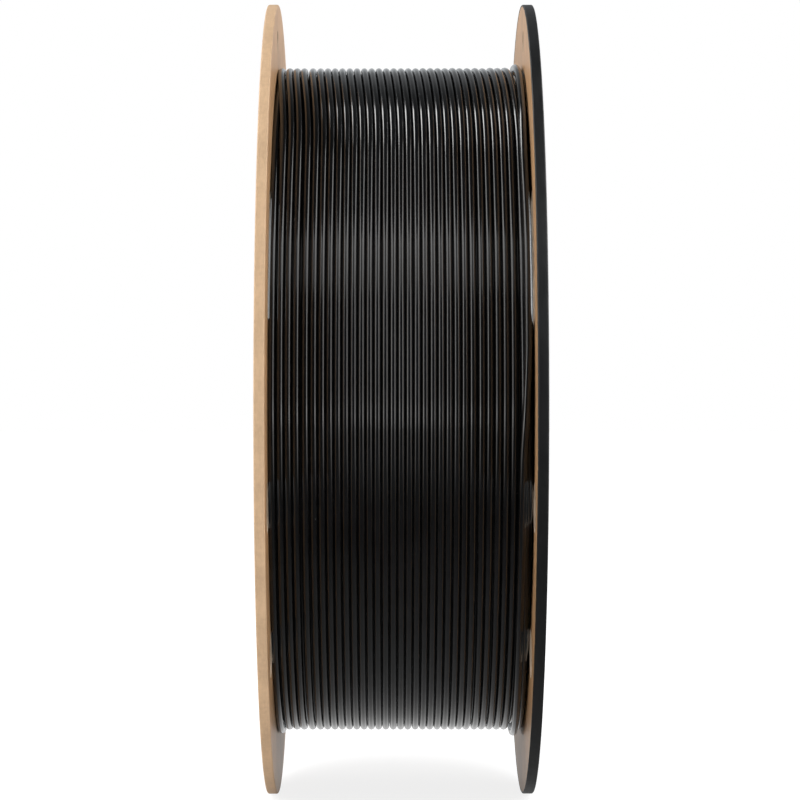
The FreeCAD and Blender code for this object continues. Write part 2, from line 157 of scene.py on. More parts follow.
def tube(path, radius, sides, closed=False, aside=None):
    """Points and faces of a round tube along a path. Its rings start away from the axis, or at `aside`."""
    path = np.asarray(path, float)
    if closed:
        tangents = np.roll(path, -1, 0) - np.roll(path, 1, 0)
    else:
        tangents = np.gradient(path, axis=0)
    tangents /= np.linalg.norm(tangents, axis=1)[:, None]
    if aside is None:
        outward = path * np.array([0.0, 1.0, 1.0])
    else:
        outward = np.tile(aside, (len(path), 1))
    outward -= (outward * tangents).sum(1)[:, None] * tangents
    outward /= np.linalg.norm(outward, axis=1)[:, None]
    across = np.cross(tangents, outward)
    turned = np.arange(sides) * 2 * math.pi / sides
    cosines, sines = np.cos(turned)[None, :, None], np.sin(turned)[None, :, None]
    ring = cosines * outward[:, None, :] + sines * across[:, None, :]
    points = (path[:, None, :] + ring * radius).reshape(-1, 3)
    count = len(path)
    here = np.arange(count if closed else count - 1)
    there = (here + 1) % count
    side = np.arange(sides)
    after = (side + 1) % sides
    faces = np.stack([
        here[:, None] * sides + side[None, :],
        here[:, None] * sides + after[None, :],
        there[:, None] * sides + after[None, :],
        there[:, None] * sides + side[None, :],
    ], axis=-1).reshape(-1, 4).tolist()
    if not closed:
        faces.append(list(range(sides - 1, -1, -1)))
        faces.append(list(range((count - 1) * sides, count * sides)))
    return points.tolist(), faces


def gather(parts):
    """Several (points, faces) as one."""
    points, faces = [], []
    for more_points, more_faces in parts:
        start = len(points)
        points += more_points
        faces += [[start + i for i in face] for face in more_faces]
    return points, faces


def lathe(profile, steps, shift=None):
    """Points and faces of a closed profile of (radius, x) turned about the spool's axis.
    `shift` gives how far a profile's point is moved at an angle."""
    points = []
    for step in range(steps):
        angle = 360.0 * step / steps
        for index, (radius, x) in enumerate(profile):
            moved = shift(index, angle) if shift else (0.0, 0.0)
            points.append(place(radius + moved[0], angle, x + moved[1]))
    faces = []
    count = len(profile)
    for step in range(steps):
        here, there = step * count, (step + 1) % steps * count
        for index in range(count):
            after = (index + 1) % count
            faces.append([here + index, here + after, there + after, there + index])
    return points, faces


# The winding


def turn_places():
    """The place along the axis of each turn of the outer layer, the first one beside the left flange."""
    draw = random.Random(TURNS_SEED)
    gaps = [draw.uniform(0.92, 1.08) for _ in range(TURN_COUNT - 1)]
    spare = LAST_TURN_X - FIRST_TURN_X - CLOSEST_TURNS * (TURN_COUNT - 1) - sum(WIDE_GAPS.values())
    each = spare / sum(gaps)
    places = [FIRST_TURN_X]
    for index, gap in enumerate(gaps, 1):
        places.append(places[-1] + CLOSEST_TURNS + gap * each + WIDE_GAPS.get(index, 0.0))
    return places


TURN_X = turn_places()


def turn_x(count):
    """The place along the axis of turn number `count`, which may lie between two whole numbers."""
    count = min(max(count, 1.0), float(TURN_COUNT))
    low = min(int(count), TURN_COUNT - 1)
    return TURN_X[low - 1] + (TURN_X[low] - TURN_X[low - 1]) * (count - low)


def stepped(number, angle):
    """How much of its step a turn has behind it, at an angle from 180 down to -180."""
    first, last = STEP_FROM
    return smooth(first + (last - first) * number / (TURN_COUNT - 1), STEP_TO, angle)


def step_rise(number):
    """How far a turn rides up in the middle of its step, over the turns beneath."""
    return random.Random(TURNS_SEED * 100 + number).uniform(*STEP_RISE)


def waver(number, angle):
    """A small sideways wander of a turn, different from turn to turn."""
    draw = random.Random(TURNS_SEED * 1000 + number)
    total = 0.0
    for waves in (2, 3, 5):
        size = draw.uniform(0.2, 1.0) / waves
        total += size * math.sin(waves * math.radians(angle) + draw.uniform(0, 2 * math.pi))
    return WAVER * total


def outer_layer_path():
    """The strand from where it comes up beside the left flange to where it is parked in the right one."""
    path = []
    steps_total = STEPS_PER_TURN * TURN_COUNT
    for step in range(steps_total + 1):
        turned = 360.0 * step / STEPS_PER_TURN
        number = int(turned // 360.0)
        angle = START_ANGLE - (turned - 360.0 * number)
        share = stepped(number, angle)
        x = turn_x(number + share) + waver(number, angle) * smooth(0, WAVER_FADE, 180 - abs(angle))
        radius = LAYER_RADIUS + step_rise(number) * 4 * share * (1 - share)
        if number == 0:
            x = FIRST_TURN_X
            radius -= LAYER_RISE * (1 - smooth(*CLIMB, angle))
            radius += BOTTOM_RISE * smooth(*BOTTOM_UP, angle) * smooth(*BOTTOM_DOWN, angle)
        if number == TURN_COUNT - 1:
            x += (RAISED_TURN[0][1] - LAST_TURN_X) * smooth(*MOVE_OUT, angle)
        path.append(place(radius, angle, x))
    return path + raised_turn_path()


def spline(rows, at):
    """Smooth values between rows of (key, value, ...), whose keys fall."""
    keys = [-row[0] for row in rows]
    found = []
    for column in range(1, len(rows[0])):
        values = [row[column] for row in rows]
        found.append(monotone(keys, values, -at))
    return found


def monotone(keys, values, at):
    """A cubic through the values that doesn't overshoot them."""
    slopes = [(b - a) / (d - c) for a, b, c, d in zip(values, values[1:], keys, keys[1:])]
    ends = [slopes[0]]
    for before, after in zip(slopes, slopes[1:]):
        ends.append(0.0 if before * after <= 0 else 2 * before * after / (before + after))
    ends.append(slopes[-1])
    index = 0
    while index < len(slopes) - 1 and at > keys[index + 1]:
        index += 1
    width = keys[index + 1] - keys[index]
    t = (at - keys[index]) / width
    return (
        values[index] * (1 + 2 * t) * (1 - t) ** 2
        + ends[index] * width * t * (1 - t) ** 2
        + values[index + 1] * t * t * (3 - 2 * t)
        + ends[index + 1] * width * t * t * (t - 1)
    )


def raised_turn_path():
    """Once round on top of the layer's last turn, and into the round hole of the right flange."""
    path = []
    step = 360.0 / STEPS_PER_TURN
    angle = RAISED_TURN[0][0] - step
    while angle > RAISED_TURN[-1][0]:
        x, rise = spline(RAISED_TURN, angle)
        path.append(place(LAYER_RADIUS + rise, angle, x))
        angle -= step
    last = RAISED_TURN[-1][0]
    x, rise = spline(RAISED_TURN, last)
    radius = LAYER_RADIUS + rise
    bend_angle = math.degrees(EXIT_BEND / radius)
    for index in range(EXIT_BEND_STEPS + 1):
        turned = math.radians(90.0 * index / EXIT_BEND_STEPS)
        angle = last - bend_angle * math.sin(turned)
        path.append(place(radius, angle, x + EXIT_BEND * (1 - math.cos(turned))))
    path.append(place(radius, last - bend_angle, EXIT_END_X))
    return path


LOWER_LAYER_STEPS = 120
LOWER_LAYER_SIDES = 8
HEART_TO_TUBE = 0.0001
HEART_TO_FLANGE = 0.003


def lower_layer_parts():
    """The layer under the outer one, whose turns lie in its grooves, and the solid heart of the winding."""
    parts = []
    for number in range(1, TURN_COUNT + 1):
        x = turn_x(number + 0.5) if number < TURN_COUNT else LAST_TURN_X + CLOSEST_TURNS / 2
        path = []
        for step in range(LOWER_LAYER_STEPS):
            angle = 180.0 - 360.0 * step / LOWER_LAYER_STEPS
            path.append(place(LAYER_RADIUS - LAYER_RISE, angle, x))
        parts.append(tube(path, STRAND_RADIUS, LOWER_LAYER_SIDES, closed=True))
    low, high = TUBE_OUTSIDE_RADIUS + HEART_TO_TUBE, LAYER_RADIUS - LAYER_RISE
    side = INNER_FACE_X - HEART_TO_FLANGE
    parts.append(lathe([(low, -side), (high, -side), (high, side), (low, side)], LOWER_LAYER_STEPS))
    return parts


# The turns beside a flange. Each strand lies along it for two turns, climbs a layer between them, and runs
# past them at both ends. Within SIDE_MOVES of an end it moves over to the flange or away from it. The second
# turn of every other strand lies a little farther in, and a ring in each layer backs them all
SIDE_STEPS = 120
SIDE_SIDES = 8
SIDE_TURN_GAP = 0.00004
SIDE_SEED = 5
SIDE_TURNED = 720.0
SIDE_PAST_END = 30.0
SIDE_MOVES = (-30.0, 12.0)
SIDE_CLIMB_AT = (28.0, 72.0)
SIDE_CLIMB_LONG = (22.0, 34.0)
SIDE_WANDER = 0.00009
SIDE_SECOND_INSET = 0.0002
SIDE_BACKING_INSET = 2.1 * STRAND_RADIUS


def side_parts(side):
    """The turns that lie against one flange, a layer above a layer, seen through its windows.
    Each strand comes in from the winding, lies along the flange, climbs a layer and goes back."""
    draw = random.Random(SIDE_SEED + side)
    flush = INNER_FACE_X - STRAND_RADIUS - SIDE_TURN_GAP
    parts = []
    for layer in range(1, LAYERS_BELOW + 1, 2):
        climb_at = draw.uniform(*SIDE_CLIMB_AT)
        climb_long = draw.uniform(*SIDE_CLIMB_LONG)
        bottom = LAYER_RADIUS - (layer + 1) * LAYER_RISE
        wander = [draw.uniform(0.4, 1.0) * SIDE_WANDER for _ in range(4)]
        phases = [draw.uniform(0, 360) for _ in range(4)]
        path = []
        total = SIDE_TURNED + 2 * SIDE_PAST_END
        steps = int(total / 360 * SIDE_STEPS)
        for step in range(steps + 1):
            turned = total * step / steps - SIDE_PAST_END
            angle = climb_at - side * turned
            up = smooth(360 - climb_long / 2, 360 + climb_long / 2, turned)
            arrived, leaving = smooth(*SIDE_MOVES, turned), smooth(*SIDE_MOVES, SIDE_TURNED - turned)
            away = 1 - arrived * leaving
            radius = bottom + LAYER_RISE * up
            inward = 0.0
            for index in range(4):
                wave = math.sin(math.radians((index + 1) * angle + phases[index]))
                radius += wander[index] * wave / (index + 1) * 0.5
                inward += wander[index] * (1 + wave) / (index + 1)
            inward += 2 * STRAND_RADIUS * away + SIDE_SECOND_INSET * up * (layer % 4 == 1)
            path.append(place(radius, angle, side * (flush - inward)))
        parts.append(tube(path, STRAND_RADIUS, SIDE_SIDES))
    for layer in range(1, LAYERS_BELOW + 1):
        path = []
        for step in range(SIDE_STEPS):
            angle = 360.0 * step / SIDE_STEPS
            path.append(place(LAYER_RADIUS - layer * LAYER_RISE, angle, side * (flush - SIDE_BACKING_INSET)))
        parts.append(tube(path, STRAND_RADIUS, SIDE_SIDES, closed=True))
    return parts


# The anchored start of the strand, along the CAD node's own line
START_X = -INNER_FACE_X + 0.007
START_BEFORE_BEND = 0.0002
START_BEND = 0.0025
START_BEND_STEPS = 12
START_TAIL = 0.012


def strand_start_path():
    """Down through the tube's wall, round a bend and along the tube's inside."""
    path = [
        (START_X, 0.0, TUBE_OUTSIDE_RADIUS),
        (START_X, 0.0, TUBE_INSIDE_RADIUS + START_BEFORE_BEND),
    ]
    for index in range(START_BEND_STEPS + 1):
        turned = math.radians(90.0 * index / START_BEND_STEPS)
        x = START_X + START_BEND * (1 - math.cos(turned))
        path.append((x, 0.0, TUBE_INSIDE_RADIUS - START_BEND * math.sin(turned)))
    path.append((START_X + START_BEND + START_TAIL, 0.0, TUBE_INSIDE_RADIUS - START_BEND))
    return path


# Rims and glue

RIM_STEPS = 720
RIM_CORNER = 0.00035
RIM_CORNER_STEPS = 5
RIM_WAVER = 0.00003
RIM_WAVES = 14
RIM_SEED = 23


def rim_profile(lip):
    """A ring's section with rounded outer corners, as (radius, x) with x from the flange's inner face.
    Its paper stands past that face by `lip`."""
    wide = OUTER_FACE_X - INNER_FACE_X
    profile = [(RIM_INSIDE_RADIUS, -lip)]
    for step in range(RIM_CORNER_STEPS + 1):
        turned = math.radians(90.0 * step / RIM_CORNER_STEPS)
        profile.append((
            RIM_RADIUS - RIM_CORNER * (1 - math.sin(turned)),
            RIM_CORNER * (1 - math.cos(turned)) - lip,
        ))
    for step in range(RIM_CORNER_STEPS + 1):
        turned = math.radians(90.0 * step / RIM_CORNER_STEPS)
        profile.append((
            RIM_RADIUS - RIM_CORNER * (1 - math.cos(turned)),
            wide - RIM_CORNER * (1 - math.sin(turned)),
        ))
    profile.append((RIM_INSIDE_RADIUS, wide))
    return profile


def rim_shift(seed):
    """How far the rim's paper is pressed in, more in some places than in others."""
    draw = random.Random(seed)
    waves = []
    for _ in range(RIM_WAVES):
        waves.append((draw.randint(5, 140), draw.uniform(0, 360), draw.uniform(0.2, 1.0)))
    total = sum(size for _, _, size in waves)

    def shift(index, angle):
        if index in (0, 2 * RIM_CORNER_STEPS + 3):
            return 0.0, 0.0
        depth = 0.0
        for count, phase, size in waves:
            depth += size * math.sin(math.radians(count * angle + phase + 25 * index))
        return -RIM_WAVER * (1 + depth / total * 2), 0.0

    return shift


def rim_parts(side, lip, seed):
    """The edging of the left (-1) or right (1) flange."""
    profile = [(radius, side * (INNER_FACE_X + x)) for radius, x in rim_profile(lip)]
    if side < 0:
        profile.reverse()
    return lathe(profile, RIM_STEPS, rim_shift(seed))


# A glue bead is smaller than its CAD node by a share of its leg, more or less by a lump, and a little hollow
GLUE_STEPS = 240
GLUE_CURVE_STEPS = 6
GLUE_SHRINK = 0.22
GLUE_LUMP = 0.32
GLUE_HOLLOW = 0.10
GLUE_WAVES = 9
GLUE_SEED = 31


def glue_parts(side):
    """A lumpy bead of dried glue in the corner between the tube and the outer board disc."""
    low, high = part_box("left_glue_fillet")
    wall = min(abs(low.x), abs(high.x))
    face = max(abs(low.x), abs(high.x))
    leg = face - wall
    draw = random.Random(GLUE_SEED + side)
    waves = []
    for _ in range(GLUE_WAVES):
        waves.append((draw.randint(3, 46), draw.uniform(0, 2 * math.pi), draw.uniform(0.3, 1.0)))
    total = sum(size for _, _, size in waves)

    def lump(index, angle):
        share = shares[index]
        if share is None:
            return 0.0, 0.0
        depth = 0.0
        for count, phase, size in waves:
            depth += size * math.sin(count * math.radians(angle) + phase)
        shrink = leg * (GLUE_SHRINK + GLUE_LUMP * (depth / total))
        return shrink * share, side * shrink * (1 - share)

    profile = [(TUBE_INSIDE_RADIUS, side * face)]
    shares = [None]
    for step in range(GLUE_CURVE_STEPS + 1):
        share = step / GLUE_CURVE_STEPS
        shares.append(share)
        hollow = GLUE_HOLLOW * leg * math.sin(math.pi * share)
        profile.append((
            TUBE_INSIDE_RADIUS - leg * share + hollow,
            side * (face - leg * (1 - share) + hollow),
        ))
    if side > 0:
        profile.reverse()
        shares.reverse()
    return lathe(profile, GLUE_STEPS, lump)


# Materials


class Nodes:
    """A node tree, made one call at a time."""

    def __init__(self, tree):
        self.tree = tree
        self.places = self.add("ShaderNodeTexCoord")

    def add(self, kind, inputs=None, **settings):
        made = self.tree.nodes.new(kind)
        for key, value in settings.items():
            setattr(made, key, value)
        for key, value in (inputs or {}).items():
            self.set(made.inputs[key], value)
        return made

    def set(self, socket, value):
        if isinstance(value, bpy.types.NodeSocket):
            self.tree.links.new(value, socket)
        else:
            socket.default_value = value

    def math(self, operation, first, second=0.0):
        return self.add("ShaderNodeMath", {0: first, 1: second}, operation=operation).outputs[0]

    def mix(self, share, first, second):
        made = self.add("ShaderNodeMix", {0: share, 6: first, 7: second}, data_type="RGBA")
        return made.outputs[2]

    def between(self, value, low, high, out_low=0.0, out_high=1.0, kind="SMOOTHSTEP"):
        """A value taken from one range to another, and held at its ends."""
        inputs = {0: value, 1: low, 2: high, 3: out_low, 4: out_high}
        return self.add("ShaderNodeMapRange", inputs, interpolation_type=kind).outputs[0]

    def in_gloss(self, paths):
        """1 where a reflection or a clear material looks, and 0 elsewhere."""
        return self.math("MAXIMUM", paths.outputs["Is Glossy Ray"], paths.outputs["Is Transmission Ray"])


class Shading(Nodes):
    """A material's nodes."""

    def __init__(self, name):
        self.material = bpy.data.materials.new(name)
        self.material.use_nodes = True
        self.shader = self.material.node_tree.nodes["Principled BSDF"]
        super().__init__(self.material.node_tree)

    def polar(self):
        """The place as (along the rim, radius, x), for grain that follows the rim, then x and the angle."""
        parts = self.add("ShaderNodeSeparateXYZ", {0: self.places.outputs["Object"]})
        forward = self.math("MULTIPLY", parts.outputs[1], -1.0)
        angle = self.math("ARCTAN2", parts.outputs[2], forward)
        across, up = (self.math("POWER", parts.outputs[index], 2.0) for index in (1, 2))
        radius = self.math("SQRT", self.math("ADD", across, up))
        along = self.math("MULTIPLY", angle, RIM_RADIUS)
        joined = self.add("ShaderNodeCombineXYZ", {0: along, 1: radius, 2: parts.outputs[0]})
        return joined.outputs[0], parts.outputs[0], angle

    def noise(self, vector, stretch, scale=1.0, detail=3.0, roughness=0.55):
        """Noise whose grains measure 1/stretch along each axis."""
        mapped = self.add("ShaderNodeMapping", {"Vector": vector, "Scale": stretch})
        made = self.add(
            "ShaderNodeTexNoise",
            {"Vector": mapped.outputs[0], "Scale": scale, "Detail": detail, "Roughness": roughness},
        )
        return made.outputs[0]

    def bump(self, height, depth):
        return self.add("ShaderNodeBump", {"Height": height, "Distance": depth, "Strength": 1.0}).outputs[0]

    def finish(self, colour, roughness, normal, specular=0.5):
        self.set(self.shader.inputs["Base Color"], colour)
        self.set(self.shader.inputs["Roughness"], roughness)
        self.shader.inputs["Specular IOR Level"].default_value = specular
        self.set(self.shader.inputs["Normal"], normal)
        return self.material


def shade(colour, factor):
    """A colour for a socket, lighter or darker by a factor."""
    return (colour[0] * factor, colour[1] * factor, colour[2] * factor, 1.0)


KRAFT = (0.52, 0.352, 0.213)
# Painted shade: the liner's kraft is a darker, more saturated copy of the rim's kraft, standing for the shade
# between the flanges
SHADED_KRAFT_LINER = (0.45, 0.262, 0.128)
GREYBOARD = (0.36, 0.28, 0.205)
BLACK_PAPER = (0.0095, 0.0101, 0.0106)
BLACK_EDGING = (0.0072, 0.0077, 0.0082)
TUBE_KRAFT = (0.47, 0.30, 0.165)
TUBE_BOARD = (0.40, 0.30, 0.21)
GLUE = (0.62, 0.56, 0.42)
FILAMENT = (0.0040, 0.0043, 0.0047)


def paper_grain(shading, vector, along, across):
    """Blotches, fine grain and long fibres two ways together, and the fibres alone."""
    blotch = shading.noise(vector, (90, 90, 90), detail=4.0)
    fine = shading.noise(vector, (900, 900, 900), detail=3.0)
    fibres = shading.noise(vector, along, detail=2.0)
    crossed = shading.noise(vector, across, detail=2.0)
    both = shading.math("ADD", shading.math("MULTIPLY", fibres, 0.6), shading.math("MULTIPLY", crossed, 0.4))
    tone = shading.math("ADD", shading.math("MULTIPLY", blotch, 0.45), shading.math("MULTIPLY", fine, 0.25))
    tone = shading.math("ADD", tone, shading.math("MULTIPLY", both, 0.30))
    return tone, both


def specks(shading, vector, scale, size):
    """1 on a few small flecks."""
    cells = shading.add("ShaderNodeTexVoronoi", {"Vector": vector, "Scale": scale})
    near = shading.between(cells.outputs["Distance"], size, size * 0.4)
    parts = shading.add("ShaderNodeSeparateColor", {0: cells.outputs["Color"]})
    chosen = shading.math("GREATER_THAN", parts.outputs[0], 0.86)
    return shading.math("MULTIPLY", near, chosen)


def board_material(name, face, core, face_contrast=1.0):
    """Lined board: paper on its faces, and its grey layers on the walls that the die cut."""
    shading = Shading(name)
    here = shading.places.outputs["Object"]
    tone, fibres = paper_grain(shading, here, (1, 420, 3400), (1, 2600, 520))
    light, dark = shade(face, 1.0 + 0.10 * face_contrast), shade(face, 1.0 - 0.14 * face_contrast)
    paper = shading.mix(shading.between(tone, 0.38, 0.62), dark, light)
    speckled = shading.math("MULTIPLY", specks(shading, here, 520.0, 0.16), 0.35)
    paper = shading.mix(speckled, paper, shade(face, 0.6))
    around, _, _ = shading.polar()
    layers = shading.noise(around, (260, 260, 5200), detail=3.0)
    cut = shading.mix(shading.between(layers, 0.35, 0.65), shade(core, 0.78), shade(core, 1.15))
    normal = shading.add("ShaderNodeSeparateXYZ", {0: shading.places.outputs["Normal"]}).outputs[0]
    flat = shading.between(shading.math("ABSOLUTE", normal), 0.55, 0.85)
    colour = shading.mix(flat, cut, paper)
    height = shading.math("ADD", shading.math("MULTIPLY", fibres, 0.6), shading.math("MULTIPLY", tone, 0.4))
    smooth_paper = shading.between(fibres, 0.3, 0.7, 0.36, 0.46)
    rough = shading.between(flat, 0.0, 1.0, 0.95, smooth_paper)
    return shading.finish(colour, rough, shading.bump(height, 0.00001))


def rim_material(name, colour, under, side, lip, roughness, specular):
    """The rim's edging: fibres along the rim, and the liner's frayed fibres over its inner corner."""
    shading = Shading(name)
    around, x, _ = shading.polar()
    tone, fibres = paper_grain(shading, around, (320, 2600, 2600), (1100, 1500, 1500))
    paper = shading.mix(shading.between(tone, 0.36, 0.64), shade(colour, 0.88), shade(colour, 1.10))
    inner = shading.math("SUBTRACT", shading.math("MULTIPLY", x, float(side)), INNER_FACE_X)
    frayed = shading.noise(around, (700, 700, 700), detail=4.0, roughness=0.7)
    reach = shading.between(frayed, 0.60, 0.82, -lip - 0.00002, 0.00022)
    bare = shading.math("LESS_THAN", inner, reach)
    result = shading.mix(bare, paper, shade(under, 1.0))
    scuffs = shading.noise(around, (60, 60, 900), detail=5.0, roughness=0.7)
    scuffed = shading.between(scuffs, 0.62, 0.80, 0.0, 0.16)
    result = shading.mix(scuffed, result, shade(colour, 1.8))
    rough = shading.between(tone, 0.35, 0.65, roughness - 0.06, roughness + 0.06)
    return shading.finish(result, rough, shading.bump(fibres, 0.00003), specular=specular)


def tube_material(name, colour, strip_wide):
    """Spiral-wound ply: the butt seam runs round the tube at a slant."""
    shading = Shading(name)
    around, x, angle = shading.polar()
    tone, fibres = paper_grain(shading, around, (420, 2600, 2600), (1400, 900, 1700))
    paper = shading.mix(shading.between(tone, 0.36, 0.64), shade(colour, 0.84), shade(colour, 1.12))
    turned = shading.math("MULTIPLY", angle, strip_wide / (2 * math.pi))
    slanted = shading.math("FRACT", shading.math("DIVIDE", shading.math("ADD", x, turned), strip_wide))
    seam = shading.math("SUBTRACT", 1.0, shading.between(slanted, 0.0, 0.022))
    result = shading.mix(shading.math("MULTIPLY", seam, 0.65), paper, shade(colour, 0.45))
    height = shading.math("SUBTRACT", shading.math("MULTIPLY", fibres, 0.4), seam)
    return shading.finish(result, 0.72, shading.bump(height, 0.00008), specular=0.40)


def glue_material(name):
    """Dried white glue, lumpy and a little glossy."""
    shading = Shading(name)
    here = shading.places.outputs["Object"]
    lumps = shading.noise(here, (500, 500, 500), detail=3.0)
    colour = shading.mix(shading.between(lumps, 0.3, 0.7), shade(GLUE, 0.8), shade(GLUE, 1.15))
    return shading.finish(colour, 0.32, shading.bump(lumps, 0.0004))


def filament_material(name):
    """Smooth extruded plastic: glossy, with faint draw lines, haze and a little dust."""
    shading = Shading(name)
    here = shading.places.outputs["Object"]
    around, _, _ = shading.polar()
    haze = shading.noise(here, (140, 140, 140), detail=3.0)
    lines = shading.noise(around, (25, 4200, 4200), detail=2.0)
    colour = shading.mix(shading.between(haze, 0.35, 0.65), shade(FILAMENT, 0.85), shade(FILAMENT, 1.2))
    dust = specks(shading, here, 260.0, 0.045)
    colour = shading.mix(shading.math("MULTIPLY", dust, 0.35), colour, (0.22, 0.21, 0.2, 1.0))
    rough = shading.between(haze, 0.3, 0.7, 0.12, 0.17)
    height = shading.math("ADD", shading.math("MULTIPLY", lines, 0.5), shading.math("MULTIPLY", haze, 0.5))
    return shading.finish(colour, rough, shading.bump(height, 0.000006))


# The scene round the spool


def make_camera():
    """The camera that the photograph was taken with."""
    data = bpy.data.cameras.new("camera")
    data.sensor_width = SENSOR_WIDTH
    data.lens = FOCAL_LENGTH_PX / PHOTO_SIDE * SENSOR_WIDTH
    data.shift_x = (PHOTO_SIDE / 2 - OPTICAL_CENTRE_PX[0]) / PHOTO_SIDE
    data.shift_y = (OPTICAL_CENTRE_PX[1] - PHOTO_SIDE / 2) / PHOTO_SIDE
    data.clip_start = 0.01
    data.clip_end = 20.0
    camera = bpy.data.objects.new("camera", data)
    camera.location = CAMERA_PLACE
    camera.rotation_euler = (math.radians(90), 0, 0)
    bpy.context.scene.collection.objects.link(camera)
    bpy.context.scene.camera = camera


def softbox(name, azimuth, elevation, distance, wide, high, radiance):
    """A soft light that faces the spool from a bearing (0 is the camera's, 90 is the right side)."""
    data = bpy.data.lights.new(name, "AREA")
    data.shape = "RECTANGLE"
    data.size = wide
    data.size_y = high
    data.energy = radiance * math.pi * wide * high
    light = bpy.data.objects.new(name, data)
    a, e = math.radians(azimuth), math.radians(elevation)
    away = Vector((math.sin(a) * math.cos(e), -math.cos(a) * math.cos(e), math.sin(e)))
    light.location = away * distance
    light.rotation_euler = away.to_track_quat("Z", "Y").to_euler()
    light.visible_camera = False
    bpy.context.scene.collection.objects.link(light)


# Lights that stand alike on both sides, and the others: name, bearing, elevation, distance, width, height and
# radiance
PAIRED_PANELS = (
    ("front_panel", 48, 7, 0.80, 0.285, 0.74, 4.0),
    ("upper_panel", 48, 43, 0.95, 0.46, 0.35, 3.3),
    ("side_panel", 90, 26, 0.70, 0.50, 0.86, 3.5),
)
SINGLE_PANELS = (
    ("left_low_rear_panel", -122, 9, 0.85, 0.26, 0.30, 3.6),
    ("right_low_rear_panel", 122, 9, 0.85, 0.26, 0.30, 8.0),
    ("left_back_panel", -130, 48, 0.87, 0.24, 0.32, 7.0),
    ("right_back_panel", 127, 38, 0.85, 0.19, 0.17, 5.0),
    ("ceiling_panel", 0, 46, 1.20, 1.00, 0.38, 0.5),
)


def make_lights():
    """Soft panels on both sides, from low before the spool to behind it, and a dim one above its front."""
    for place_name, side in (("left", -1), ("right", 1)):
        for name, azimuth, *rest in PAIRED_PANELS:
            softbox("%s_%s" % (place_name, name), side * azimuth, *rest)
    for panel in SINGLE_PANELS:
        softbox(*panel)


WORLD_SEEN = (1.0, 1.0, 1.0, 1.0)
WORLD_FILL = (0.15, 0.15, 0.15, 1.0)

# What the gloss sees of the room, from straight up, beside or before the spool (0) to straight behind it (1)
ROOM_IN_GLOSS = (
    (0.0, 0.02), (0.35, 0.025), (0.60, 0.07), (0.71, 0.12), (0.82, 0.24), (0.91, 0.31), (0.98, 0.74),
)
ROOM_TINT = (0.96, 1.0, 1.03)


def make_world():
    """White where the camera looks, a dim fill, and in the gloss a dark room, pale behind the spool."""
    world = bpy.data.worlds.new("studio")
    world.use_nodes = True
    world.node_tree.nodes.clear()
    nodes = Nodes(world.node_tree)
    paths = nodes.add("ShaderNodeLightPath")
    parts = nodes.add("ShaderNodeSeparateXYZ", {0: nodes.places.outputs["Generated"]})
    room = nodes.add("ShaderNodeValToRGB", {0: parts.outputs[1]})
    stops = room.color_ramp.elements
    while len(stops) < len(ROOM_IN_GLOSS):
        stops.new(0.5)
    for stop, (share, value) in zip(stops, ROOM_IN_GLOSS):
        stop.position = share
        stop.color = tuple(value * tint for tint in ROOM_TINT) + (1.0,)
    lit = nodes.mix(nodes.in_gloss(paths), WORLD_FILL, room.outputs[0])
    shown = nodes.mix(paths.outputs["Is Camera Ray"], lit, WORLD_SEEN)
    background = nodes.add("ShaderNodeBackground", {"Color": shown})
    nodes.add("ShaderNodeOutputWorld", {0: background.outputs[0]})
    bpy.context.scene.world = world


FLOOR_SIDE = 8.0
FLOOR_COLOUR = (0.80, 0.79, 0.78, 1.0)

# The camera sees a floor that glows white, less so near the spool, where a lit share takes its shadow
FLOOR_GLOW = (0.10, 0.32, 0.84, 1.0)
FLOOR_SHADED = (0.22, 0.22, 0.22, 1.0)

# Painted light: in the gloss the floor is a glow whose brightness stands in for the lamps' light on it: dark
# before the spool, brighter under it, pale behind it. Each row is where it starts and ends, and its value
# there. The first two are brightnesses along y, which add up, and the others are factors: by the distance
# from the spool, and by the distance to its side
FLOOR_BEFORE = (-0.14, 0.0, 0.09, 0.36)
FLOOR_BEHIND = (-0.035, 0.045, 0.0, 0.50)
FLOOR_FADES = (0.18, 0.50, 1.0, 0.12)
FLOOR_PAST_FLANGES = (0.040, 0.085, 1.0, 0.08)

# It also has a painted reflection of the front panels in that glow: by how far to the side a place lies, as a
# share of its distance, by its distance, and before the spool only
FLOOR_ASIDE = (0.52, 0.66, 0.0, 1.0)
FLOOR_AWAY = (0.13, 0.42, 0.0, 1.9)
FLOOR_AHEAD = (-0.10, -0.18, 0.0, 1.0)


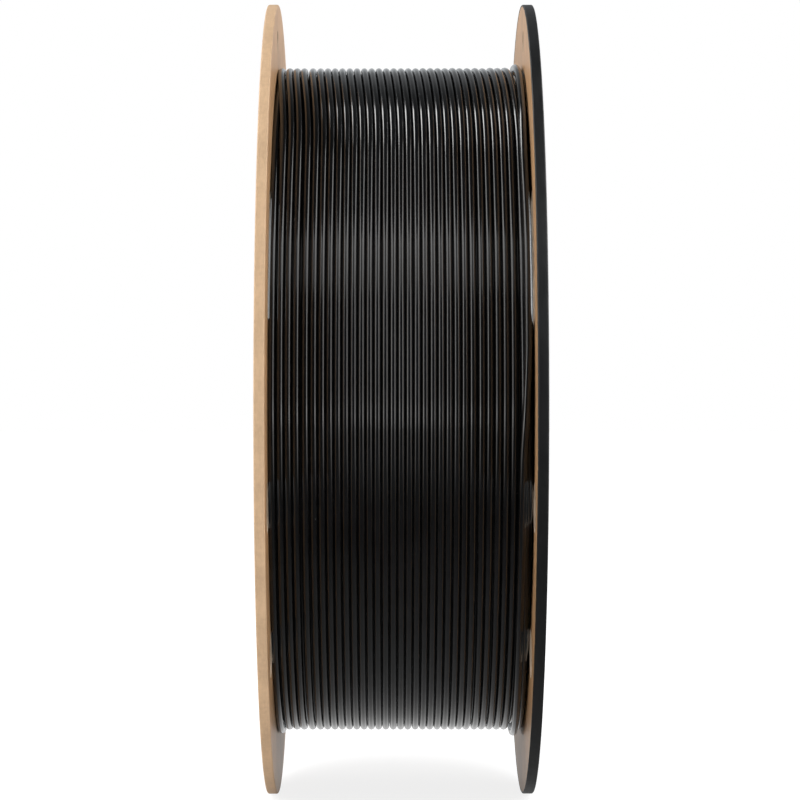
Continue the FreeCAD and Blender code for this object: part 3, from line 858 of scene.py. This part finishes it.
def make_floor():
    """A pale floor. The camera sees most of it as white, and its shaded share takes the spool's shadow."""
    mesh = bpy.data.meshes.new("floor")
    half = FLOOR_SIDE / 2
    corners = [(-half, -half), (half, -half), (half, half), (-half, half)]
    mesh.from_pydata([(x, y, 0.0) for x, y in corners], [], [(0, 1, 2, 3)])
    floor = bpy.data.objects.new("floor", mesh)
    floor.location.z = -RIM_RADIUS
    bpy.context.scene.collection.objects.link(floor)

    shading = Shading("floor")
    tree = shading.tree
    tree.nodes.remove(shading.shader)
    here = shading.places.outputs["Object"]
    paths = shading.add("ShaderNodeLightPath")
    plain = shading.add("ShaderNodeBsdfDiffuse", {0: FLOOR_COLOUR})
    shaded = shading.add("ShaderNodeBsdfDiffuse", {0: FLOOR_SHADED})
    parts = shading.add("ShaderNodeSeparateXYZ", {0: here})
    back = parts.outputs[1]
    aside = shading.math("ABSOLUTE", parts.outputs[0])
    far = shading.add("ShaderNodeVectorMath", {0: here}, operation="LENGTH").outputs["Value"]
    glow = shading.add("ShaderNodeEmission", {1: shading.between(far, *FLOOR_GLOW)})
    seen = shading.add("ShaderNodeAddShader", {0: glow.outputs[0], 1: shaded.outputs[0]})

    # Painted light: what the gloss sees here is a glow, not a lit floor, and it holds the front panels'
    # painted reflection
    before = shading.between(back, *FLOOR_BEFORE, kind="LINEAR")
    pale = shading.math("ADD", before, shading.between(back, *FLOOR_BEHIND))
    pale = shading.math("MULTIPLY", pale, shading.between(far, *FLOOR_FADES))
    pale = shading.math("MULTIPLY", pale, shading.between(aside, *FLOOR_PAST_FLANGES))
    share = shading.math("DIVIDE", aside, far)
    panels = shading.math("MULTIPLY", shading.between(share, *FLOOR_ASIDE), shading.between(far, *FLOOR_AWAY))
    panels = shading.math("MULTIPLY", panels, shading.between(back, *FLOOR_AHEAD))
    painted_gloss_glow = shading.add("ShaderNodeEmission", {1: shading.math("MAXIMUM", pale, panels)})

    ways = {0: paths.outputs["Is Camera Ray"], 1: plain.outputs[0], 2: seen.outputs[0]}
    outside_gloss = shading.add("ShaderNodeMixShader", ways)
    ways = {0: shading.in_gloss(paths), 1: outside_gloss.outputs[0], 2: painted_gloss_glow.outputs[0]}
    whole = shading.add("ShaderNodeMixShader", ways)
    out = next(node for node in tree.nodes if node.type == "OUTPUT_MATERIAL")
    tree.links.new(whole.outputs[0], out.inputs[0])
    mesh.materials.append(shading.material)


# Putting it together


def paint(node, material):
    """Gives a CAD node its finish."""
    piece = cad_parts[node]
    if not piece.material_slots:
        piece.data.materials.append(material)
    for index in range(len(piece.material_slots)):
        piece.material_slots[index].material = material


# How far the paper of each edging stands past the flange's inner face
LEFT_RIM_LIP = 0.0
RIGHT_RIM_LIP = 0.00008


def dress_flanges():
    """The discs' papers, and the edgings in their place."""
    kraft_board = board_material("kraft_board", KRAFT, GREYBOARD, face_contrast=0.5)
    # Painted shade: the inner discs' liner takes the darker, more saturated kraft
    shaded_kraft_liner = board_material("shaded_kraft_liner", SHADED_KRAFT_LINER, GREYBOARD)
    black_board = board_material("black_board", BLACK_PAPER, GREYBOARD, face_contrast=1.6)
    paint("left_outer_disc", kraft_board)
    paint("left_inner_disc", shaded_kraft_liner)
    paint("right_inner_disc", shaded_kraft_liner)
    paint("right_outer_disc", black_board)
    kraft = rim_material("kraft_edging", KRAFT, KRAFT, -1, LEFT_RIM_LIP, 0.55, specular=0.4)
    # The liner's frayed fibres over the black rim are real, and they take the same kraft with painted shade
    black = rim_material("black_edging", BLACK_EDGING, SHADED_KRAFT_LINER, 1, RIGHT_RIM_LIP, 0.45, specular=0.36)
    left = make_object("left_rim_wrap", *rim_parts(-1, LEFT_RIM_LIP, RIM_SEED), kraft, "kraft_edging")
    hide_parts("left_rim_edging")
    right = make_object("right_rim_wrap", *rim_parts(1, RIGHT_RIM_LIP, RIM_SEED + 1), black, "black_edging")
    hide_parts("right_rim_edging")


# The width along the tube of the strips that its plies are wound from
TUBE_STRIP = 0.075


def dress_tube():
    """The plies' papers, and the glue beads in their place."""
    kraft = tube_material("tube_kraft", TUBE_KRAFT, TUBE_STRIP)
    board = tube_material("tube_board", TUBE_BOARD, TUBE_STRIP)
    paint("tube_inner_ply", kraft)
    paint("tube_outer_ply", kraft)
    paint("tube_body_plies", board)
    glue = glue_material("dried_glue")
    for name, side in (("left", -1), ("right", 1)):
        bead = make_object(name + "_glue_bead", *glue_parts(side), glue, "dried_glue")
        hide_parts(name + "_glue_fillet")


def dress_filament():
    """The strand: its wound layers and its anchored start."""
    material = filament_material("filament")
    winding = tube(outer_layer_path(), STRAND_RADIUS, STRAND_SIDES)
    outer = make_object("filament_winding", *winding, material, "filament")
    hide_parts("filament_outer_layer")
    lower = make_object("filament_lower_layer", *gather(lower_layer_parts()), material, "filament")
    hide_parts("filament_inner_layers")
    for name, side in (("filament_left_side", -1), ("filament_right_side", 1)):
        piece = make_object(name, *gather(side_parts(side)), material, "filament")
        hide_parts("filament_inner_layers")
    start = tube(strand_start_path(), STRAND_RADIUS, STRAND_SIDES, aside=(0.0, 1.0, 0.0))
    anchored = make_object("filament_anchored_start", *start, material, "filament")
    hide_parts("filament_start")


bpy.context.scene.view_settings.view_transform = "Standard"
make_camera()
dress_flanges()
dress_tube()
dress_filament()
make_floor()
make_world()
make_lights()
